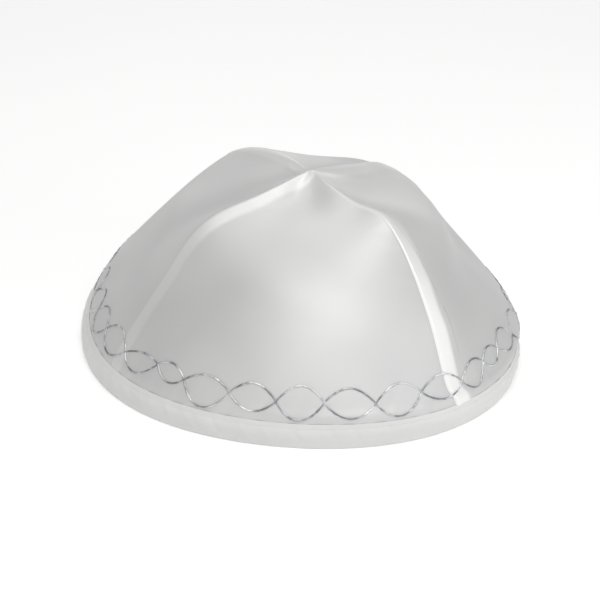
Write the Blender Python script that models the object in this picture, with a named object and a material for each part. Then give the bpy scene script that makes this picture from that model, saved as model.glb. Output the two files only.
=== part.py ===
"""A skullcap of four satin panels, sewn along four ridges and bound at the rim with folded tape.

Metres, +Z up. The cap rests on its rim at z = 0 with its front panel towards -Y, and the origin is the
middle of its footprint. Every piece follows one crown surface, which is worked out in crown_surface():
meridians run from the rim to the apex, and blend from one ridge through the middle of a panel to the next
ridge. The panels meet at seams that run beside the ridges.
"""

from collections import namedtuple

import bpy
import numpy as np

# Sizes of the whole cap
RIM_DIAMETER = 0.1772           # mean, across the crown cloth where it enters the binding
CROWN_HEIGHT = 0.0720           # apex of the cloth above the surface that the cap rests on
APEX_SHIFT_X = 0.0075           # the panels' meeting point, sideways of the rim's middle
APEX_SHIFT_Y = -0.0030
CROWN_TILT = 0.10               # rise towards the back of the flat top, per length

# Cloth and binding
CLOTH_WALL = 0.0012             # satin with its backing
BINDING_WALL = 0.0010           # one leg of the folded tape
BINDING_FULLNESS = 0.0007       # how far the outer leg rounds out between its hem and its foot
BINDING_HEIGHT = 0.0100         # hem of the tape above the surface that the cap rests on
BINDING_SOLE = 0.0014           # tape under the cloth's cut edge
FOOT_ROUNDING = 0.0008          # corner between the tape's leg and its flat underside
PIECE_GAP = 0.0003              # between one piece and the next

# Plan of the rim: waves round the axis as shares of the radius
OVAL_SHARE_X = -0.0275
OVAL_SHARE_DIAGONAL = -0.070
TRIANGLE_SHARE_X = 0.0067
TRIANGLE_SHARE_Y = -0.0273
SQUARE_SHARE_X = -0.007

# Heights of the stations on each meridian, as shares of CROWN_HEIGHT
FLANK_SHARE = 0.23
HAUNCH_SHARE = 0.575
RIDGE_CROWN_SHARE = 0.957
PANEL_CROWN_SHARE = 0.88
CROWN_REACH_SHARE = 0.266       # reach of the crown station, as a share of the rim radius

# How far up the way from the rim to the apex each station lies: foot, lip at the tape's hem, flank,
# haunch, shoulder, crown, tip
STATION_SHARES = np.array([0, 0.06, 0.17, 0.37, 0.63, 0.80, 1])
HEM_SHARE = STATION_SHARES[1]

# Resolution of the solids
PANEL_COLUMNS = 20
HEM_ROWS = 3
CROWN_ROWS = 15
SHARP_ANGLE = np.radians(40)

# Reaches are shares of the rim radius and levels are shares of CROWN_HEIGHT. Ridges go anticlockwise from
# the front left one. The seam between two panels runs beside their ridge, by seam_turn degrees at mid
# height, and the share rounding of each half panel is taken up by the ridge's soft bend
Ridge = namedtuple("Ridge", "name azimuth seam_turn rounding flank haunch shoulder shoulder_level")
RIDGES = (
    Ridge("front_left", 214.5, 0.0, 0.05, 0.96, 0.765, 0.53, 0.91),
    Ridge("front_right", 312.5, -6.2, 0.07, 0.96, 0.81, 0.46, 0.97),
    Ridge("back_right", 394.5, 5.0, 0.06, 0.94, 0.80, 0.45, 0.90),
    Ridge("back_left", 479.0, -5.0, 0.06, 0.965, 0.81, 0.54, 0.83),
)
Panel = namedtuple("Panel", "name lip flank haunch shoulder shoulder_level")
PANELS = (
    Panel("front", 1.0, 0.97, 0.80, 0.57, 0.81),
    Panel("right", 1.0, 0.995, 0.72, 0.55, 0.81),
    Panel("back", 0.985, 0.945, 0.815, 0.57, 0.745),
    Panel("left", 0.98, 0.95, 0.69, 0.515, 0.735),
)

# Soft folds (rise above 0) and dents (below 0) in the panels. A place is given across the panel, from -1
# at its first ridge to 1 at its last, and up it, from 0 at the rim to 1 at the apex. Width and rise are
# shares of the rim radius
Fold = namedtuple("Fold", "panel foot_across foot_up head_across head_up width rise")
FOLDS = (
    Fold("front", -0.02, 0.00, -0.10, 0.92, 0.26, 0.026),
    Fold("front", 0.42, 0.06, 0.46, 0.78, 0.24, 0.012),
    Fold("front", -0.62, 0.04, -0.52, 0.80, 0.20, -0.010),
    Fold("front", -0.86, 0.04, -0.80, 0.34, 0.07, -0.016),
    Fold("front", 0.00, 0.78, 0.00, 0.99, 0.12, -0.014),
    Fold("right", -0.88, 0.03, -0.80, 0.36, 0.06, -0.018),
    Fold("right", -0.10, 0.12, 0.10, 0.82, 0.24, -0.016),
    Fold("right", 0.45, 0.05, 0.35, 0.60, 0.15, 0.012),
    Fold("back", -0.35, 0.04, -0.20, 0.78, 0.20, 0.016),
    Fold("back", 0.30, 0.08, 0.15, 0.84, 0.18, -0.014),
    Fold("left", -0.30, 0.06, -0.15, 0.80, 0.22, 0.014),
    Fold("left", 0.35, 0.05, 0.30, 0.70, 0.20, -0.016),
    Fold("left", 0.86, 0.04, 0.80, 0.30, 0.07, -0.010),
)

RIM_RADIUS = RIM_DIAMETER / 2
FOOT_LEVEL = BINDING_SOLE + PIECE_GAP      # where the cloth's cut edge stands inside the tape
TIP_REACH = 4 * PIECE_GAP                  # the panels' tips stop this far from the apex


def clear_scene():
    for thing in list(bpy.data.objects):
        bpy.data.objects.remove(thing, do_unlink=True)


def smooth_line(stations, along):
    """Catmull-Rom curve through the stations at STATION_SHARES, read at along = 0 to 1: points and slopes."""
    knots = STATION_SHARES
    slopes = np.gradient(stations, knots, axis=0)
    start = np.clip(np.searchsorted(knots, along, side="right") - 1, 0, len(knots) - 2)
    span = (knots[start + 1] - knots[start])[..., None]
    t = (along - knots[start])[..., None] / span
    step = stations[start + 1] - stations[start]
    points = (stations[start] + t**2 * (3 - 2 * t) * step
              + span * (t * (1 - t) ** 2 * slopes[start] + t**2 * (t - 1) * slopes[start + 1]))
    run = (6 * t * (1 - t) / span * step
           + (1 - t) * (1 - 3 * t) * slopes[start] + t * (3 * t - 2) * slopes[start + 1])
    return points, run


def meridian(lip, flank, haunch, shoulder, shoulder_level, crown_level, along):
    """Reach from the axis and height, from the rim to the apex, with their slopes."""
    stations = np.array([
        (RIM_RADIUS, FOOT_LEVEL),
        (lip * RIM_RADIUS, BINDING_HEIGHT),
        (flank * RIM_RADIUS, FLANK_SHARE * CROWN_HEIGHT),
        (haunch * RIM_RADIUS, HAUNCH_SHARE * CROWN_HEIGHT),
        (shoulder * RIM_RADIUS, shoulder_level * CROWN_HEIGHT),
        (CROWN_REACH_SHARE * RIM_RADIUS, crown_level * CROWN_HEIGHT),
        (TIP_REACH, CROWN_HEIGHT),
    ])
    return smooth_line(stations, along)


def ridge_meridian(index, along):
    ridge = RIDGES[index % len(RIDGES)]
    lip = (PANELS[index % len(PANELS)].lip + PANELS[index - 1].lip) / 2
    return meridian(lip, *ridge[4:], RIDGE_CROWN_SHARE, along)


def ridge_azimuth(index):
    """Azimuth of a ridge in radians, counted on past a full turn."""
    turns, place = divmod(index, len(RIDGES))
    return np.radians(RIDGES[place].azimuth) + 2 * np.pi * turns


def seam_azimuth(index, along):
    """Azimuth of the seam beside a ridge: it swells away from the ridge and rejoins it below the apex."""
    swell = np.sin(np.pi * np.clip((along + 0.16) / 0.94, 0, 1))
    return ridge_azimuth(index) + np.radians(RIDGES[index % len(RIDGES)].seam_turn) * swell


def plan_share(azimuth):
    """The rim's plan: a circle with waves of two, three and four lobes, as a share of its radius."""
    return (1 + OVAL_SHARE_X * np.cos(2 * azimuth) + OVAL_SHARE_DIAGONAL * np.sin(2 * azimuth)
            + TRIANGLE_SHARE_X * np.cos(3 * azimuth) + TRIANGLE_SHARE_Y * np.sin(3 * azimuth)
            + SQUARE_SHARE_X * np.cos(4 * azimuth))


def fold_rise(panel, across, along, reach, half_angle):
    """Sum of the panel's folds: a bell across each fold's line, fading to nothing at its two ends."""
    rise = np.zeros(across.shape)
    for fold in FOLDS:
        if fold.panel != panel.name:
            continue
        share = (along - fold.foot_up) / (fold.head_up - fold.foot_up)
        line = fold.foot_across + (fold.head_across - fold.foot_across) * share
        aside = (across - line) * reach * half_angle / (fold.width * RIM_RADIUS)
        rise += fold.rise * RIM_RADIUS * np.exp(-aside**2) * np.sin(np.pi * np.clip(share, 0, 1)) ** 2
    return rise * (1 - across**4) ** 2


def ridge_share(across, rounding):
    """across squared, bent to a level top over the last share of the way, so that a ridge is soft."""
    edge = 1 - rounding
    over = np.clip(np.abs(across) - edge, 0, None)
    return np.minimum(np.abs(across), edge) ** 2 + 2 * edge * over - edge / rounding * over**2


def crown_surface(azimuth, along):
    """Points of the cloth's outer face and the directions out of it, for azimuth and along of one shape.

    Between two ridges the meridian is middle + (ridge - middle) * ridge_share(across). The direction out is
    at right angles to the meridian, in the upright plane through the axis.
    """
    line = np.zeros(azimuth.shape + (2,))
    run = np.zeros(azimuth.shape + (2,))
    rise = np.zeros(azimuth.shape)
    for index, panel in enumerate(PANELS):
        first = ridge_azimuth(index)
        width = ridge_azimuth(index + 1) - first
        across = 2 * np.mod(azimuth - first, 2 * np.pi) / width - 1
        inside = across <= 1
        across = np.minimum(across, 1)
        middle, middle_run = meridian(*panel[1:], PANEL_CROWN_SHARE, along)
        first_side, first_run = ridge_meridian(index, along)
        last_side, last_run = ridge_meridian(index + 1, along)
        early = (across < 0)[..., None]
        rounding = np.where(across < 0, RIDGES[index].rounding, RIDGES[(index + 1) % len(RIDGES)].rounding)
        pull = ridge_share(across, rounding)[..., None]
        here = middle + (np.where(early, first_side, last_side) - middle) * pull
        here_run = middle_run + (np.where(early, first_run, last_run) - middle_run) * pull
        line = np.where(inside[..., None], here, line)
        run = np.where(inside[..., None], here_run, run)
        folds = fold_rise(panel, across, along, here[..., 0], width / 2)
        rise = np.where(inside, folds, rise)

    length = np.linalg.norm(run, axis=-1)
    out_flat = run[..., 1] / length
    out_up = -run[..., 0] / length
    reach = line[..., 0] + rise * out_flat
    height = line[..., 1] + rise * out_up
    lean = (height - FOOT_LEVEL) / (CROWN_HEIGHT - FOOT_LEVEL)
    spread = reach * plan_share(azimuth)
    x = spread * np.cos(azimuth) + APEX_SHIFT_X * lean
    y = spread * np.sin(azimuth) + APEX_SHIFT_Y * lean
    z = height + CROWN_TILT * lean**2 * y
    out = np.stack([out_flat * np.cos(azimuth), out_flat * np.sin(azimuth), out_up], axis=-1)
    return np.stack([x, y, z], axis=-1), out


def level(directions):
    """The same directions turned level, so that the cloth's cut edge and the tape's sole lie flat."""
    flat = directions * (1, 1, 0)
    return flat / np.linalg.norm(flat, axis=-1, keepdims=True)


def shares_up():
    """Rows of a panel, from its foot to its tip: the first ones are also the rows of the tape."""
    return np.concatenate([np.linspace(0, HEM_SHARE, HEM_ROWS + 1),
                           np.linspace(HEM_SHARE, 1, CROWN_ROWS + 1)[1:]])


def panel_azimuths(index):
    """Azimuths of a panel's grid, row by row from seam to seam, and the height shares of its rows.

    The columns are even, but for one that is moved onto a ridge where the ridge runs inside the panel. It
    stays half a step or more from the seam.
    """
    along = shares_up()[:, None]
    first = seam_azimuth(index, along)
    last = seam_azimuth(index + 1, along)
    step = (last - first) / PANEL_COLUMNS
    azimuth = first + step * np.arange(PANEL_COLUMNS + 1)
    if RIDGES[index].seam_turn < 0:
        azimuth[:, 1:2] = np.maximum(ridge_azimuth(index), first + step / 2)
    if RIDGES[(index + 1) % len(RIDGES)].seam_turn > 0:
        azimuth[:, -2:-1] = np.minimum(ridge_azimuth(index + 1), last - step / 2)
    return azimuth, along


def panel_solid(index):
    """Vertices and faces of one panel: the outer face, the inner face a cloth wall below it, and the edges.

    The side edges stay half a gap short of the seams at every height.
    """
    azimuth, along = panel_azimuths(index)
    azimuth[:, 0] += PIECE_GAP / 2 / ridge_meridian(index, along[:, 0])[0][:, 0]
    azimuth[:, -1] -= PIECE_GAP / 2 / ridge_meridian(index + 1, along[:, 0])[0][:, 0]
    outer, out = crown_surface(azimuth, np.broadcast_to(along, azimuth.shape))
    out[0] = level(out[0])
    inner = outer - out * CLOTH_WALL

    number = np.arange(outer.shape[0] * outer.shape[1]).reshape(outer.shape[:2])
    corners = (number[:-1, :-1], number[:-1, 1:], number[1:, 1:], number[1:, :-1])
    outer_faces = np.stack(corners, axis=-1).reshape(-1, 4)
    inner_faces = outer_faces[:, ::-1] + number.size
    ring = np.concatenate([number[0, :-1], number[:-1, -1], number[-1, :0:-1], number[:0:-1, 0]])
    following = np.roll(ring, -1)
    edge_faces = np.stack([following, ring, ring + number.size, following + number.size], axis=-1)
    points = np.concatenate([outer.reshape(-1, 3), inner.reshape(-1, 3)])
    return points, np.concatenate([outer_faces, inner_faces, edge_faces])


def rim_lines():
    """The crown surface from its foot to the tape's hem, at the panels' columns all round the rim."""
    azimuth = []
    for index in range(len(PANELS)):
        grid, along = panel_azimuths(index)
        azimuth.append(grid[:HEM_ROWS + 1, :-1])
    azimuth = np.concatenate(azimuth, axis=1).T
    return crown_surface(azimuth, np.broadcast_to(along[:HEM_ROWS + 1, 0], azimuth.shape))


def binding_solid():
    """Vertices and faces of the folded tape: a U section with a flat sole, carried round the rim."""
    surface, out = rim_lines()
    share = np.linspace(0, 1, HEM_ROWS + 1)
    fullness = (BINDING_FULLNESS * np.sin(np.pi * share))[None, :, None]
    under = CLOTH_WALL + PIECE_GAP
    outer_skin = surface + out * (PIECE_GAP + BINDING_WALL + fullness)
    outer_lining = surface + out * PIECE_GAP
    inner_lining = surface - out * under
    inner_skin = surface - out * (under + BINDING_WALL)

    flat_out = level(out[:, 0])
    foot = surface[:, 0] * (1, 1, 0)
    sole = (0, 0, BINDING_SOLE)
    outer_edge = PIECE_GAP + BINDING_WALL
    inner_edge = under + BINDING_WALL
    bottom_out = foot + flat_out * (outer_edge - FOOT_ROUNDING)
    bottom_in = foot - flat_out * (inner_edge - FOOT_ROUNDING)
    channel_out = foot + flat_out * PIECE_GAP + sole
    channel_in = foot - flat_out * under + sole
    outer_skin[:, 0] = foot + flat_out * outer_edge + sole
    inner_skin[:, 0] = foot - flat_out * inner_edge + sole
    hem_rise = np.cross(np.cross(out[:, -1], (0, 0, 1)), out[:, -1]) * BINDING_WALL / 3
    outer_hem = surface[:, -1] + out[:, -1] * (PIECE_GAP + BINDING_WALL / 2) + hem_rise
    inner_hem = surface[:, -1] - out[:, -1] * (under + BINDING_WALL / 2) + hem_rise

    section = np.concatenate([
        bottom_out[:, None], outer_skin, outer_hem[:, None], outer_lining[:, :0:-1], channel_out[:, None],
        channel_in[:, None], inner_lining[:, 1:], inner_hem[:, None], inner_skin[:, ::-1], bottom_in[:, None],
    ], axis=1)
    columns, size = section.shape[:2]
    number = np.arange(columns * size).reshape(columns, size)
    ahead = np.roll(number, -1, axis=0)
    faces = np.stack([number, ahead, np.roll(ahead, -1, axis=1), np.roll(number, -1, axis=1)], axis=-1)
    return section.reshape(-1, 3), faces.reshape(-1, 4)


def cloth_material(name, colour, roughness):
    material = bpy.data.materials.new(name)
    material.use_nodes = True
    shader = material.node_tree.nodes["Principled BSDF"]
    shader.inputs["Base Color"].default_value = (*colour, 1)
    shader.inputs["Roughness"].default_value = roughness
    shader.inputs["Metallic"].default_value = 0
    shader.inputs["Sheen Weight"].default_value = 0.3
    return material


def add_piece(name, points, faces, material):
    mesh = bpy.data.meshes.new(name)
    mesh.from_pydata(points.tolist(), [], faces.tolist())
    mesh.shade_smooth()
    mesh.set_sharp_from_angle(angle=SHARP_ANGLE)
    mesh.materials.append(material)
    piece = bpy.data.objects.new(name, mesh)
    bpy.context.collection.objects.link(piece)


def main():
    clear_scene()
    satin = cloth_material("white_satin", (0.80, 0.80, 0.82), 0.38)
    tape = cloth_material("white_satin_tape", (0.84, 0.84, 0.85), 0.45)
    binding_points, binding_faces = binding_solid()
    middle = (binding_points.min(axis=0) + binding_points.max(axis=0)) / 2 * (1, 1, 0)
    add_piece("rim_binding", binding_points - middle, binding_faces, tape)
    for index, panel in enumerate(PANELS):
        points, faces = panel_solid(index)
        add_piece(f"crown_panel_{panel.name}", points - middle, faces, satin)


main()
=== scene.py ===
"""Finish of a four-panel satin skullcap: fine cloth panels, rim tape, turned seam edges and a silver chain.

Metres, +Z up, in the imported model's frame: the rim rests at z = 0 and the front panel faces -Y. Every piece
follows one crown surface, which is worked out in crown_surface() from named sizes and short tables.
"""

from collections import namedtuple

import bpy
import numpy as np
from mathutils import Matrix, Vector


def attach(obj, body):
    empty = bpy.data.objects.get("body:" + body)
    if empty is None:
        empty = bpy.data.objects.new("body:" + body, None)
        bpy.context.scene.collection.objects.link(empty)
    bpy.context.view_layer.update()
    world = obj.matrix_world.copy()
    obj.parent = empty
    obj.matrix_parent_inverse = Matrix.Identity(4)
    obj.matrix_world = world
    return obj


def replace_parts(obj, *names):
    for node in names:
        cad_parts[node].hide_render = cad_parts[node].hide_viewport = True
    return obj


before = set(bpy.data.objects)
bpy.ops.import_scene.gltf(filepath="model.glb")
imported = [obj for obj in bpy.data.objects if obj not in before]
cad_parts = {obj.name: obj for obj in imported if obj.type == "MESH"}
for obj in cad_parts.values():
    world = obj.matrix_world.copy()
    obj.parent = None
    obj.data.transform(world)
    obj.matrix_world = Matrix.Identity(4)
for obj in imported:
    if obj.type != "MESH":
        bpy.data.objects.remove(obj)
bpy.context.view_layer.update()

# Sizes of the whole cap
RIM_DIAMETER = 0.1772           # mean, across the crown cloth where it enters the tape
CROWN_HEIGHT = 0.0720           # apex of the cloth above the floor
APEX_SHIFT_X = 0.0075           # the panels' meeting point, sideways of the rim's middle
APEX_SHIFT_Y = -0.0030
CROWN_TILT = 0.10               # rise towards the back of the flat top, per length

# Cloth and rim tape
CLOTH_WALL = 0.0012             # satin with its backing
TAPE_WALL = 0.0010              # one leg of the folded tape
TAPE_FULLNESS = 0.0007          # how far the outer leg rounds out between its hem and its foot
TAPE_HEIGHT = 0.0100            # hem of the tape above the floor
TAPE_SOLE = 0.0014              # tape under the cloth's cut edge
FOOT_ROUNDING = 0.0008          # corner between the tape's leg and its flat underside
PIECE_GAP = 0.0003              # between the cloth and the tape's legs

# Plan of the rim: waves round the axis as shares of the radius
OVAL_SHARE_X = -0.0275
OVAL_SHARE_DIAGONAL = -0.070
TRIANGLE_SHARE_X = 0.0067
TRIANGLE_SHARE_Y = -0.0273
SQUARE_SHARE_X = -0.007

# Heights of the stations on each meridian, as shares of CROWN_HEIGHT
FLANK_SHARE = 0.23
HAUNCH_SHARE = 0.575
RIDGE_CROWN_SHARE = 0.957
PANEL_CROWN_SHARE = 0.88
CROWN_REACH_SHARE = 0.266       # reach of the crown station, as a share of the rim radius

# How far up the way from the rim to the apex each station lies: foot, lip at the tape's hem, flank,
# haunch, shoulder, crown, tip
STATION_SHARES = np.array([0, 0.06, 0.17, 0.37, 0.63, 0.80, 1])
HEM_SHARE = STATION_SHARES[1]

# Reaches are shares of the rim radius and levels are shares of CROWN_HEIGHT. Ridges go anticlockwise from
# the front left one. The seam between two panels runs beside their ridge, by seam_turn degrees at mid
# height, and the share rounding of each half panel is taken up by the ridge's soft bend
Ridge = namedtuple("Ridge", "name azimuth seam_turn rounding flank haunch shoulder shoulder_level")
RIDGES = (
    Ridge("front_left", 214.5, 0.0, 0.05, 0.96, 0.765, 0.53, 0.91),
    Ridge("front_right", 312.5, -6.2, 0.07, 0.96, 0.81, 0.46, 0.97),
    Ridge("back_right", 394.5, 5.0, 0.06, 0.94, 0.80, 0.45, 0.90),
    Ridge("back_left", 479.0, -5.0, 0.06, 0.965, 0.81, 0.54, 0.83),
)
# The seam's turned edges lie under the panel before or after the seam (side -1 or 1), so wide at the rim and
# at the apex in metres. The shares are how much of their thickness shows through low down and near the apex,
# both as relief and as a whiter band of cloth that is partly a painted highlight, and the roll is how deep
# the cloth turns in at the seam
Allowance = namedtuple("Allowance", "side foot_width head_width foot_share head_share roll")
ALLOWANCES = (
    Allowance(1, 0.0062, 0.0044, 0.22, 0.50, 0.00002),
    Allowance(1, 0.0072, 0.0040, 1.00, 0.10, 0.00009),
    Allowance(-1, 0.0070, 0.0040, 0.70, 0.20, 0.00008),
    Allowance(1, 0.0066, 0.0040, 0.70, 0.20, 0.00008),
)
Panel = namedtuple("Panel", "name lip flank haunch shoulder shoulder_level")
PANELS = (
    Panel("front", 1.0, 0.97, 0.80, 0.57, 0.81),
    Panel("right", 1.0, 0.995, 0.72, 0.55, 0.81),
    Panel("back", 0.985, 0.945, 0.815, 0.57, 0.745),
    Panel("left", 0.98, 0.95, 0.69, 0.515, 0.735),
)

# Soft folds (rise above 0) and dents (below 0). A place is given across the panel, from -1 at its first
# ridge to 1 at its last, and up it, from 0 at the rim to 1 at the apex. Width and rise are shares of the
# rim radius
Fold = namedtuple("Fold", "panel foot_across foot_up head_across head_up width rise")
FOLDS = (
    Fold("front", -0.02, 0.00, -0.10, 0.92, 0.26, 0.026),
    Fold("front", 0.42, 0.06, 0.46, 0.78, 0.24, 0.012),
    Fold("front", -0.62, 0.04, -0.52, 0.80, 0.20, -0.010),
    Fold("front", -0.86, 0.04, -0.80, 0.34, 0.07, -0.016),
    Fold("front", 0.00, 0.78, 0.00, 0.99, 0.12, -0.014),
    Fold("right", -0.88, 0.03, -0.80, 0.36, 0.06, -0.018),
    Fold("right", -0.10, 0.12, 0.10, 0.82, 0.24, -0.016),
    Fold("right", 0.45, 0.05, 0.35, 0.60, 0.15, 0.012),
    Fold("back", -0.35, 0.04, -0.20, 0.78, 0.20, 0.016),
    Fold("back", 0.30, 0.08, 0.15, 0.84, 0.18, -0.014),
    Fold("left", -0.30, 0.06, -0.15, 0.80, 0.22, 0.014),
    Fold("left", 0.35, 0.05, 0.30, 0.70, 0.20, -0.016),
    Fold("left", 0.86, 0.04, 0.80, 0.30, 0.07, -0.010),
)

# Fine relief of the sewn cloth
SEAM_GAP = 0.00002              # between two panels' edges at their seam
SEAM_ROLL_REACH = 0.00040       # how far from the seam the cloth turns in
ALLOWANCE_WALL = 0.0005         # two turned edges, pressed flat
ALLOWANCE_RISE = 0.0004         # of the panel over them
ALLOWANCE_LEDGE = 0.0024        # over which that rise fades
HEM_THINNING = 0.75             # share of the tape's wall that is pressed away at its hem
SEAM_STITCH = 0.0026            # length of one sewn stitch
STITCH_PUCKER_SHARE = 0.45      # of a seam's roll, between its stitches
PUCKER_RISE = 0.00016           # of the ripples that the tape's stitching draws into the cloth
PUCKER_REACH = 0.0085           # height above the tape over which they fade
PUCKER_LENGTH = 0.0110
SEAM_RIPPLE_LENGTH = 0.014      # of the ripples along a seam, which are widest SEAM_RIPPLE_AWAY from it
SEAM_RIPPLE_AWAY = 0.004
SEAM_RIPPLE_REACH = 0.0035
SEAM_RIPPLE_SHARE = 0.6         # of PUCKER_RISE
QUIET_SEAM_REACH = 0.006        # near a seam, where the ripples above the tape fade

# Shares of the way up between which the cloth at the seams changes from its look low down to that near the
# apex: how far the turned edges show, with their whiter band that is partly a painted highlight, and how deep
# the cloth turns in
SHOW_CHANGE = (0.38, 0.68)
ROLL_CHANGE = (0.45, 0.70)
ROLL_LOSS = 0.7                 # share of the roll's depth that is lost near the apex

# Turned edges under the panels
ALLOWANCE_START = 0.014         # share of the way up above the tape's hem where they come out of it
ALLOWANCE_END = 0.985
ALLOWANCE_UNRULY = 0.07         # share by which their width wanders
ALLOWANCE_WAVE = 0.31           # length of that wandering, as a share of the way up
ALLOWANCE_GAP = 0.00003         # between the panel and its turned edges
FREE_EDGE_RISE = 0.00012        # how far their free edge hangs away
FREE_EDGE_WAVE = 0.043          # length of its waves, as a share of the way up
ALLOWANCE_LEAST_REACH = 0.002   # reach from the axis below which they keep their angle

# Ripples and stitches of the tape
TAPE_LEG_POINTS = 22
TAPE_SHORT_RIPPLE = 0.0074      # lengths, and how far they rise
TAPE_SHORT_RISE = 0.00014
TAPE_LONG_RIPPLE = 0.0221
TAPE_LONG_RISE = 0.00016
TAPE_SLANT = 0.006              # how far the ripples lean along the rim from foot to hem
TAPE_SEWN_DEPTH = 0.00007       # of the line where the tape is sewn through
TAPE_SEWN_SHARE = 0.80          # place of that line up the leg
TAPE_STITCH_POINT = 17          # point of a leg that lies on it
HEM_CLOSING = 0.93              # share of PIECE_GAP that is closed at the hem
HEM_BULGE = 0.7                 # rise of the hem's round, as a share of its wall
TAPE_STITCH_LENGTH = 0.0021
TAPE_STITCH_WIDTH = 0.00018
TAPE_STITCH_HEIGHT = 0.00012

# Resolution of the fine pieces
PANEL_COLUMNS = 200
EDGE_CROWDING = 0.80            # share of the even spacing that is given up to bring columns to the seams
HEM_ROWS = 4
CROWN_ROWS = 132
TAPE_COLUMNS = 840
SHARP_ANGLE = np.radians(50)

# Silver chain: two threads that cross, sewn round the crown above the tape. Each row is the crossing at the
# start of a loop (degrees, and millimetres up the cloth from its foot) and how high the loop's upper and
# lower strands run in its middle
Loop = namedtuple("Loop", "azimuth crossing upper lower")
FRONT_LOOPS = (
    Loop(177.5, 15.6, 22.0, 10.6), Loop(190.6, 17.2, 22.6, 11.0), Loop(203.3, 17.5, 23.0, 11.6),
    Loop(217.7, 16.9, 20.6, 12.4), Loop(230.7, 19.4, 21.8, 14.6), Loop(240.2, 17.5, 21.5, 9.6),
    Loop(253.5, 17.1, 21.9, 11.8), Loop(265.5, 16.1, 22.4, 9.8), Loop(277.0, 16.5, 21.5, 10.6),
    Loop(289.0, 15.3, 21.6, 9.9), Loop(300.2, 16.9, 21.3, 12.2), Loop(311.5, 15.9, 21.6, 11.8),
    Loop(319.5, 18.7, 22.4, 15.2), Loop(326.0, 19.6, 24.4, 15.0), Loop(335.5, 17.8, 22.6, 11.4),
)
BACK_LOOP_COUNT = 15
BACK_LOOP_START = 348.0         # degrees
BACK_LOOP = Loop(0, 17.0, 22.3, 11.2)
LOOP_POINTS = 40                # along each loop of a thread
LOOP_POWER = 0.85               # below 1, so that a loop is a little fuller than a sine
CHAIN_TOP_SHARE = 0.4           # share of the way up below which all of the chain lies
THREAD_WIDTH = 0.00066
THREAD_HEIGHT = 0.00050
THREAD_STITCH = 0.0029
THREAD_PINCH = 0.14             # share by which it is drawn in where a stitch ends
THREAD_LEAD = 0.0012            # over which the thread climbs onto a seam's turned edges

# Camera at the photograph's angle, and the studio
CAMERA_TARGET = (0.0015, -0.0020, 0.0130)
CAMERA_DISTANCE = 0.600
CAMERA_ELEVATION = np.radians(28)
CAMERA_LENS = 87.95             # millimetres, on a sensor SENSOR_WIDTH wide
SENSOR_WIDTH = 36
WORLD_STRENGTH = 0.34
FLOOR_RADIUS = 3.0
FLOOR_INNER_SHARE = 0.02        # of the radius, filled with a flat patch
FLOOR_CORNERS = 64
Light = namedtuple("Light", "name place aim size power colour")
LIGHTS = (
    Light("key_softbox", (0.0, -0.6, 1.4), (0, 0, 0.03), 0.9, 8.0, (1.0, 0.995, 0.985)),
    Light("right_softbox", (0.4, -0.8, 1.2), (0, 0, 0.03), 0.9, 5.0, (1.0, 0.995, 0.985)),
    Light("low_softbox", (1.1, -0.8, 0.4), (0, 0, 0.03), 0.9, 3.0, (0.975, 0.985, 1.0)),
    Light("back_softbox", (0.0, 1.2, 0.9), (0, 0, 0.03), 0.9, 3.0, (0.975, 0.985, 1.0)),
    Light("left_softbox", (-0.4, 0.0, 1.4), (0, 0, 0.03), 0.9, 2.0, (1.0, 1.0, 1.0)),
)

RIM_RADIUS = RIM_DIAMETER / 2
FOOT_LEVEL = TAPE_SOLE + PIECE_GAP
TIP_REACH = 0.00004             # the panels' tips close on the apex
SEAM_SWELL = (-0.16, 0.78)      # shares of the way up between which a seam swells away from its ridge


# Crown surface

def smooth_line(stations, along):
    """Catmull-Rom curve through the stations at STATION_SHARES, read at along = 0 to 1: points and slopes."""
    knots = STATION_SHARES
    slopes = np.gradient(stations, knots, axis=0)
    start = np.clip(np.searchsorted(knots, along, side="right") - 1, 0, len(knots) - 2)
    span = (knots[start + 1] - knots[start])[..., None]
    t = (along - knots[start])[..., None] / span
    step = stations[start + 1] - stations[start]
    points = (stations[start] + t**2 * (3 - 2 * t) * step
              + span * (t * (1 - t) ** 2 * slopes[start] + t**2 * (t - 1) * slopes[start + 1]))
    run = (6 * t * (1 - t) / span * step
           + (1 - t) * (1 - 3 * t) * slopes[start] + t * (3 * t - 2) * slopes[start + 1])
    return points, run


def meridian(lip, flank, haunch, shoulder, shoulder_level, crown_level, along):
    """Reach from the axis and height, from the rim to the apex, with their slopes."""
    stations = np.array([
        (RIM_RADIUS, FOOT_LEVEL),
        (lip * RIM_RADIUS, TAPE_HEIGHT),
        (flank * RIM_RADIUS, FLANK_SHARE * CROWN_HEIGHT),
        (haunch * RIM_RADIUS, HAUNCH_SHARE * CROWN_HEIGHT),
        (shoulder * RIM_RADIUS, shoulder_level * CROWN_HEIGHT),
        (CROWN_REACH_SHARE * RIM_RADIUS, crown_level * CROWN_HEIGHT),
        (TIP_REACH, CROWN_HEIGHT),
    ])
    return smooth_line(stations, along)


def ridge_meridian(index, along):
    ridge = RIDGES[index % len(RIDGES)]
    lip = (PANELS[index % len(PANELS)].lip + PANELS[index - 1].lip) / 2
    return meridian(lip, *ridge[4:], RIDGE_CROWN_SHARE, along)


def ridge_azimuth(index):
    """Azimuth of a ridge in radians, counted on past a full turn."""
    turns, place = divmod(index, len(RIDGES))
    return np.radians(RIDGES[place].azimuth) + 2 * np.pi * turns


def seam_azimuth(index, along):
    """Azimuth of the seam beside a ridge: it swells away from the ridge and rejoins it below the apex."""
    start, end = SEAM_SWELL
    swell = np.sin(np.pi * np.clip((along - start) / (end - start), 0, 1))
    return ridge_azimuth(index) + np.radians(RIDGES[index % len(RIDGES)].seam_turn) * swell


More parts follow.
